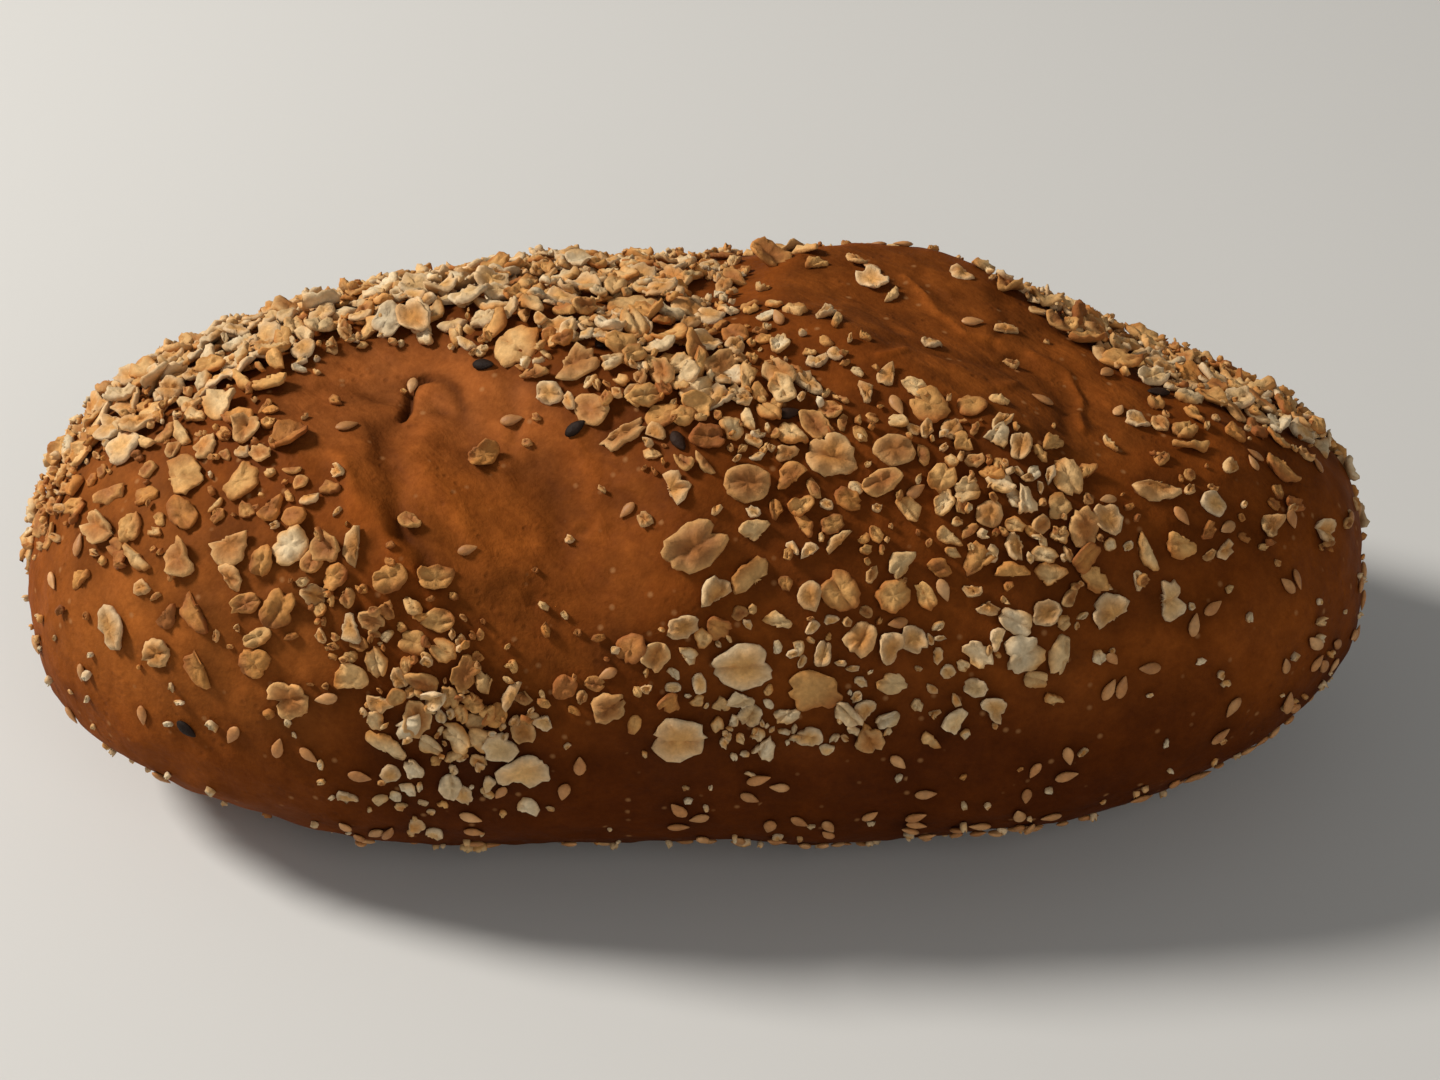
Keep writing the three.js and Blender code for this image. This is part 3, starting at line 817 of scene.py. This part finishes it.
topping = {
    "tries": 66000,
    "discsFirst": 0.16,              # share of the tries in which most flakes are whole discs
    "discLength": (3.6, 7.4, 5.0),   # mm: shortest, longest, usual
    "bitLength": (1.6, 4.8, 2.8),
    "thickness": (0.65, 1.0),        # mm, of a flake 4.5 mm long
    "lowFront": {"below": 34, "shrink": 0.84},   # flakes are smaller low on the front: swing, share
    "steepest": 0.4,                 # slope that chance may add to a flake
    "lowest": 4,                     # mm above the floor
    "crumbs": {"tries": 40000, "length": (0.9, 2.6, 1.5), "lowest": 3, "strewn": 0.02},
    # bands of rolled oats: mm along and swing of the start and of the end, half width in mm, how dense and
    # how toasted
    "bands": [
        # the crest of the left half and down its end
        (-90, 113, -22, 115, 21, 1.0, 0.24),
        (-64, 99, -28, 100, 11, 1.0, 0.28),
        (-92, 92, -84, 84, 12, 0.75, 0.5),
        (-70, 92, -62, 86, 8, 0.95, 0.42),
        (-100, 84, -98, 60, 7, 0.4, 0.5),
        (-92, 72, -64, 66, 14, 0.34, 0.6),
        (-84, 44, -62, 44, 10, 0.17, 0.65),
        (-60, 44, -52, 34, 6, 0.4, 0.5),
        # the middle of the top
        (-20, 106, -8, 98, 12, 1.0, 0.34),
        (-26, 88, -8, 84, 12, 1.0, 0.4),
        (-20, 77, -2, 72, 9.5, 0.85, 0.52),
        # down across the front to the right
        (-3, 79, 12, 66, 9.5, 0.66, 0.44),
        (8, 90, 18, 74, 7, 0.16, 0.4),
        (6, 65, 34, 61, 10, 0.37, 0.44),
        (40, 57, 53, 45, 8.5, 0.6, 0.38),
        (-4, 56, 26, 44, 11, 0.23, 0.58),
        (42, 44, 47, 28, 8, 0.38, 0.28),
        (4, 31, 30, 30, 8.5, 0.28, 0.34),
        # low on the front
        (0, 18, 18, 19, 8.5, 0.44, 0.12),
        (24, 16, 50, 20, 7, 0.09, 0.2),
        (-46, 28, -18, 30, 8, 0.5, 0.64),
        (-40, 18, -31, 17, 8, 0.8, 0.3),
        (-42, 6, -30, 6, 7, 0.3, 0.06),
        (-24, 31, -12, 24, 8, 0.3, 0.5),
        # the crest of the right half and the flakes strewn below it
        (60, 112, 90, 108, 12, 1.0, 0.32),
        (66, 99, 86, 96, 9, 0.85, 0.36),
        (66, 80, 86, 78, 8, 0.2, 0.6),
        (60, 52, 84, 60, 9, 0.08, 0.6),
        # the far side
        (-78, 142, -20, 138, 19, 0.85, 0.42),
        (-10, 148, 2, 152, 14, 0.75, 0.42),
        (-4, 158, 56, 154, 13, 0.55, 0.45),
        (66, 136, 84, 134, 15, 0.7, 0.45),
        (-78, 160, 60, 174, 15, 0.28, 0.55),
        (-100, 120, -96, 150, 9, 0.35, 0.5),
    ],
    # flakes that lie on their own: mm along, swing, length and width mm, lift of one side, how toasted
    "singles": [
        (-41.8, 47.6, 4.2, 3.2, 0.6, 0.72), (47.0, 99.6, 3.8, 3.2, 0.1, 0.45),
        (34.9, 87.2, 3.4, 2.4, 0.2, 0.3), (47.3, 87.9, 3.4, 2.0, 0.2, 0.6), (44.1, 71.7, 3.6, 2.6, 0.1, 0.4),
        (19.3, 90.8, 4.0, 2.2, 0.1, 0.3), (21.0, 88.0, 4.2, 2.2, 0.1, 0.4), (18.5, 116, 4.8, 3.6, 0.4, 0.5),
        (24.5, 117, 3.6, 2.8, 0.4, 0.55), (27.0, 111, 5.6, 4.2, 0.3, 0.25), (29.5, 107, 3.8, 2.8, 0.2, 0.35),
        (41.3, 117, 4.4, 3.6, 0.5, 0.3), (-52.4, 57.2, 2.4, 2.0, 0.1, 0.4), (-18.3, 44.6, 2.6, 2.2, 0.2, 0.3),
        (-7.8, 47.3, 2.8, 2.2, 0.2, 0.5), (51.7, 62.7, 5.6, 3.8, 0.5, 0.5), (73.3, 67.6, 6.8, 3.2, 0.5, 0.5),
        (65.5, 73.5, 4.4, 2.6, 0.1, 0.3), (60.9, 65.5, 3.4, 2.0, 0.1, 0.3), (79.1, 62.0, 4.2, 3.0, 0.3, 0.5),
        (69.1, 73.8, 4.0, 2.8, 0.2, 0.55),
    ],
    "mmPerDegree": 0.85,             # a degree of swing, measured along the crust
    # the scatter is gathered into six meshes, cut at these places
    "backFrom": 128, "backTo": -60, "leftTo": -38, "middleTo": 22,
}
seeds = {
    # how many more of each, length, width and thickness in mm, and mm above the floor where they begin
    "sesame": {"count": 260, "size": (3.4, 1.95, 1.0), "lowest": 5, "seed": 13},
    "linseed": {"count": 5, "size": (3.3, 2.1, 1.1), "lowest": 20, "seed": 14},
}


def bandField(along, swing):
    # how dense and how toasted the oats are at a place
    dense, toasted, weight = 0.0, 0.0, 1e-6
    step = topping["mmPerDegree"]
    over = swing * step
    # ragged edges: lumps of 7 mm and of 21 mm
    ragged = 1 + 0.55 * noise.noise(Vector((along / 7.0, over / 7.0, 2.5)))
    ragged += 0.3 * noise.noise(Vector((along / 21.0, over / 21.0, 8.5)))
    for ax, startSwing, bx, endSwing, halfWidth, most, bandToasted in topping["bands"]:
        ay, by = startSwing * step, endSwing * step
        t = ((along - ax) * (bx - ax) + (over - ay) * (by - ay)) / ((bx - ax) ** 2 + (by - ay) ** 2)
        t = min(max(t, 0.0), 1.0)
        gap = ragged * math.hypot(along - ax - t * (bx - ax), over - ay - t * (by - ay)) / halfWidth
        here = most * math.exp(-gap ** 3)
        dense = max(dense, here)
        toasted += bandToasted * here
        weight += here
    return dense, toasted / weight


def zoneOf(along, swing):
    side = "Back" if swing > topping["backFrom"] or swing < topping["backTo"] else "Front"
    part = "Left" if along < topping["leftTo"] else "Middle" if along < topping["middleTo"] else "Right"
    return side + part


def randomSpot(rng):
    i = rng.randrange(len(points))
    return i, points[i], normals[i]


def swingOf(i):
    # counted on past 180 down the far side
    return swings[i] if swings[i] > -90 else swings[i] + 360


def addTo(heaps, along, swing, laid, shape, colours):
    heaps.setdefault(zoneOf(along, swing), []).append((laid, shape, colours))


def scatterOats(heaps):
    rng = random.Random(11)
    lowFront, steepest = topping["lowFront"], topping["steepest"]
    for attempt in range(topping["tries"]):
        i, spot, normal = randomSpot(rng)
        swing = swingOf(i)
        dense, toasted = bandField(spot[0], swing)
        dense *= 1 - bare[i]
        if spot[2] < topping["lowest"] or rng.random() > dense:
            continue
        mostlyDiscs = attempt < topping["tries"] * topping["discsFirst"]
        kind = "disc" if rng.random() < (0.8 if mostlyDiscs else 0.16 + 0.34 * (1 - dense)) else "bit"
        shrink = lowFront["shrink"] if swing < lowFront["below"] else 1.0
        length = rng.triangular(*topping[kind + "Length"]) * shrink
        shape = rng.choice(shapes[kind])
        width, thickness = length * rng.uniform(0.6, 0.92), rng.uniform(*topping["thickness"])
        size = (length, width, thickness * (0.5 + length / 9))
        # the denser they lie, the more they tip and the more they may overlap
        slack = 0.08 + 0.17 * dense
        tip = [max(-steepest, min(steepest, rng.gauss(0, slack))) for _ in range(2)]
        laid = layDown(spot, normal, anyTurn(rng), size, shape, tip=tip, most=0.05 + 0.9 * dense ** 1.3)
        if laid is not None:
            colours = pieceColours(shape, "oat", toasted + rng.gauss(0, 0.22), rng)
            addTo(heaps, spot[0], swing, laid, shape, colours)


def laySingles(heaps):
    rng = random.Random(21)
    for along, swing, length, width, lift, toasted in topping["singles"]:
        spot, normal = crustPlace(tree, along, swing)
        shape = rng.choice(shapes["disc"])
        size = (length, width, 0.8)
        laid = layDown(spot, normal, anyTurn(rng), size, shape, tip=(0.0, lift), keepClear=True)
        addTo(heaps, along, swing, laid, shape, pieceColours(shape, "oat", toasted, rng))


def scatterCrumbs(heaps):
    rng = random.Random(12)
    crumbs = topping["crumbs"]
    for _ in range(crumbs["tries"]):
        i, spot, normal = randomSpot(rng)
        swing = swingOf(i)
        dense, toasted = bandField(spot[0], swing)
        chance = max(dense ** 1.8, crumbs["strewn"]) * (1 - 0.9 * bare[i])
        if spot[2] < crumbs["lowest"] or rng.random() > chance:
            continue
        length = rng.triangular(*crumbs["length"])
        shape = rng.choice(shapes["crumb"])
        size = (length, length * rng.uniform(0.55, 0.9), length * rng.uniform(0.3, 0.5))
        laid = layDown(spot, normal, anyTurn(rng), size, shape, sink=0.05, most=0.9,
                       tip=(rng.gauss(0, 0.25), rng.gauss(0, 0.25)))
        if laid is not None:
            colours = pieceColours(shape, "oat", toasted + rng.gauss(0.1, 0.25), rng)
            addTo(heaps, spot[0], swing, laid, shape, colours)


def scatterSeeds(kind, chance):
    rng = random.Random(seeds[kind]["seed"])
    heap = []
    while len(heap) < seeds[kind]["count"]:
        i, spot, normal = randomSpot(rng)
        if spot[2] < seeds[kind]["lowest"] or rng.random() > chance(i, spot):
            continue
        shape = rng.choice(shapes[kind])
        scale = rng.uniform(0.85, 1.1)
        size = [scale * s for s in seeds[kind]["size"]]
        laid = layDown(spot, normal, anyTurn(rng), size, shape, sink=0.1, most=0.35)
        if laid is not None:
            heap.append((laid, shape, pieceColours(shape, kind, rng.random(), rng)))
    return heap


def sesameChance(i, spot):
    # most on the lower half and among the oats, fewer in the hollows and at the left end
    dense, _ = bandField(spot[0], swingOf(i))
    lower = 0.7 if spot[2] < 34 else 0.3
    leftEnd = ease(spot[0], -35, -60)
    return (lower + 0.6 * dense) * (1 - 0.8 * bare[i]) * (1 - 0.75 * leftEnd)


def linseedChance(i, spot):
    # only among the thickest oats on top
    dense, _ = bandField(spot[0], swingOf(i))
    return 1.0 if dense > 0.7 and spot[2] > 45 else 0.0


oatHeaps = {}
linseedHeap = scatterSeeds("linseed", linseedChance)
laySingles(oatHeaps)
scatterOats(oatHeaps)
print("rolled oats scattered:", sum(len(heap) for heap in oatHeaps.values()))
scatterCrumbs(oatHeaps)
print("with crumbs:", sum(len(heap) for heap in oatHeaps.values()))
for zone, heap in sorted(oatHeaps.items()):
    buildHeap("oats" + zone, heap, oatPaint)
buildHeap("sesameScatter", scatterSeeds("sesame", sesameChance), sesamePaint)
buildHeap("linseedScatter", linseedHeap, linseedPaint)
print("seeds scattered")


crustTones = {
    # linear colours of the crust
    # lit and dark are lit and shaded copies of the crust colour: painted light and painted shade
    "lit": (0.224, 0.0555, 0.0066),      # the upper left and top
    "dark": (0.088, 0.0185, 0.0015),     # the lower half and the right
    "bare": (0.220, 0.0580, 0.0075),     # the open hollows
    # bareFar: a painted sheen, paler and less saturated than the bare crust
    "bareFar": (0.268, 0.0785, 0.0155),  # the upper end of the left one
    "rim": (0.185, 0.062, 0.008),        # just above the base
    # crease: the colour of painted shade in folds, pits and dents
    "crease": (0.055, 0.013, 0.002),
    "base": (0.30, 0.12, 0.035),         # the underside, with its scorched spots and flour
    "scorched": (0.12, 0.035, 0.008),
    "floury": (0.52, 0.36, 0.20),
}
shading = {
    # each tone: the mm along, across or up the loaf where it begins and where it is full, the mm its edge
    # wanders, and its full share
    # lower, lowerAlong and right: painted shade low on the front and on the right
    "lower": (50, 31, 6, 1), "lowerAlong": (-92, -34, 0, 1), "right": (20, 80, 14, 0.3),
    # tip and tipHeight: painted light on the right end
    "tip": (62, 86, 6, 0.85), "tipHeight": (20, 36, 0, 1),     # the right end is paler again
    # left, leftTip, leftLow, leftHigh and leftTint: painted light on the left end
    "left": (-45, -60, 0, 1), "leftTip": (-105, -94, 0, 1),    # the left end is yellower at mid height
    "leftLow": (26, 40, 0, 1), "leftHigh": (66, 56, 0, 1),
    # bareRight: painted shade on the hollows towards the right; farAcross and farAlong: where the painted sheen on the
    # left hollow lies
    "bareRight": (-25, 25, 0, 0.18), "farAcross": (-30, -10, 0, 1), "farAlong": (-5, -30, 0, 1),
    "rim": (12, 3, 2, 0.55), "flat": (2.6, 0.3, 1.2, 1),
    # ridgeLit: painted highlight on ridges; creaseMost: the most painted shade in creases
    "leftTint": (0.3, 0.5, 1.0), "bareMost": 0.85, "creaseMost": 0.85, "ridgeLit": 0.45,
    "scorchedMost": 0.75, "flouryMost": 0.6,
    # painted shade on the crust round topping: how much darker, smoothing steps, and mm of topping that counts as
    # covered
    "near": {"dark": 0.46, "steps": 14, "full": 0.5},
}


def nearTopping():
    # how much of the crust round each point lies under topping
    quads = np.array(faces)
    cover = np.minimum(stack / shading["near"]["full"], 1.0)
    count = gathered(quads, np.ones(len(quads)), len(points))
    for _ in range(shading["near"]["steps"]):
        cover = gathered(quads, cover[quads].mean(axis=1), len(points)) / count
    return cover


def blend(colour, other, share):
    return colour * (1 - share)[:, None] + other * share[:, None]


def undersideColours(crease):
    spots = unevenness(points, 5.0, (4, 4, 1)) + 0.7 * unevenness(points, 1.9, (1, 3, 8))
    dust = unevenness(points, 12.0, (2, 9, 5)) + 0.8 * unevenness(points, 1.3, (6, 6, 2))
    under = blend(crustTones["base"], crustTones["scorched"], shading["scorchedMost"] * ease(spots, 0.1, 0.6))
    under = blend(under, crustTones["floury"], shading["flouryMost"] * ease(dust, 0.15, 0.7))
    # painted shade in the creases and dents under the loaf
    return blend(under, crustTones["crease"], 0.8 * crease)


def crustColours():
    x, y, z = points.T
    wobble = unevenness(points, 22.0, (5, 5, 5))

    def share(key, place):
        begins, full, wanders, most = shading[key]
        return most * ease(place + wanders * wobble, begins, full)

    # painted light and painted shade over the loaf: the lit tone on the upper left and top, painted shade low on the
    # front and on the right, painted light again at the right end
    tip = share("tip", x) * share("tipHeight", z)
    dark = np.maximum(share("lower", z) * share("lowerAlong", x), share("right", x)) * (1 - tip)
    colour = blend(crustTones["lit"], crustTones["dark"], np.clip(dark, 0, 1))
    # painted light on the left end at mid height, which makes it lighter and yellower
    left = share("left", x) * share("leftTip", x) * share("leftLow", z) * share("leftHigh", z)
    colour = colour * (1 + left[:, None] * shading["leftTint"])
    # the hollows, painted darker towards the right as painted shade, with a painted sheen at the upper end of the left
    # one
    bareTone = crustTones["bare"] * (1 - share("bareRight", x))[:, None]
    bareTone = blend(bareTone, crustTones["bareFar"], share("farAcross", y) * share("farAlong", x))
    colour = blend(colour, bareTone, shading["bareMost"] * bare)
    # the edge of the base, clouds, painted shade in creases and a painted highlight on ridges, and painted shade on the
    # crust between the oats
    colour = blend(colour, crustTones["rim"], share("rim", z))
    clouds = unevenness(points, 7.5, (9, 2, 6)) + 0.6 * unevenness(points, 3.4, (1, 7, 3))
    colour = colour * (1 + (0.16 + 0.2 * bare) * clouds)[:, None]
    crease = np.clip(creaseShade * 0.8, 0, shading["creaseMost"])
    colour = blend(colour, crustTones["crease"], crease)
    colour = colour * (1 + shading["ridgeLit"] * np.clip(-creaseShade, 0, 1.2))[:, None]
    # painted shade on the crust between the oats
    colour = colour * (1 - shading["near"]["dark"] * nearTopping())[:, None]
    return blend(colour, undersideColours(crease), share("flat", z))


crustPiece = meshPiece("bakedCrust", points, faces, crustPaint)
paintColours(crustPiece, "tone", crustColours())
paintNumbers(crustPiece, "bare", bare)
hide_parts("bread_loaf")
print("crust piece built")
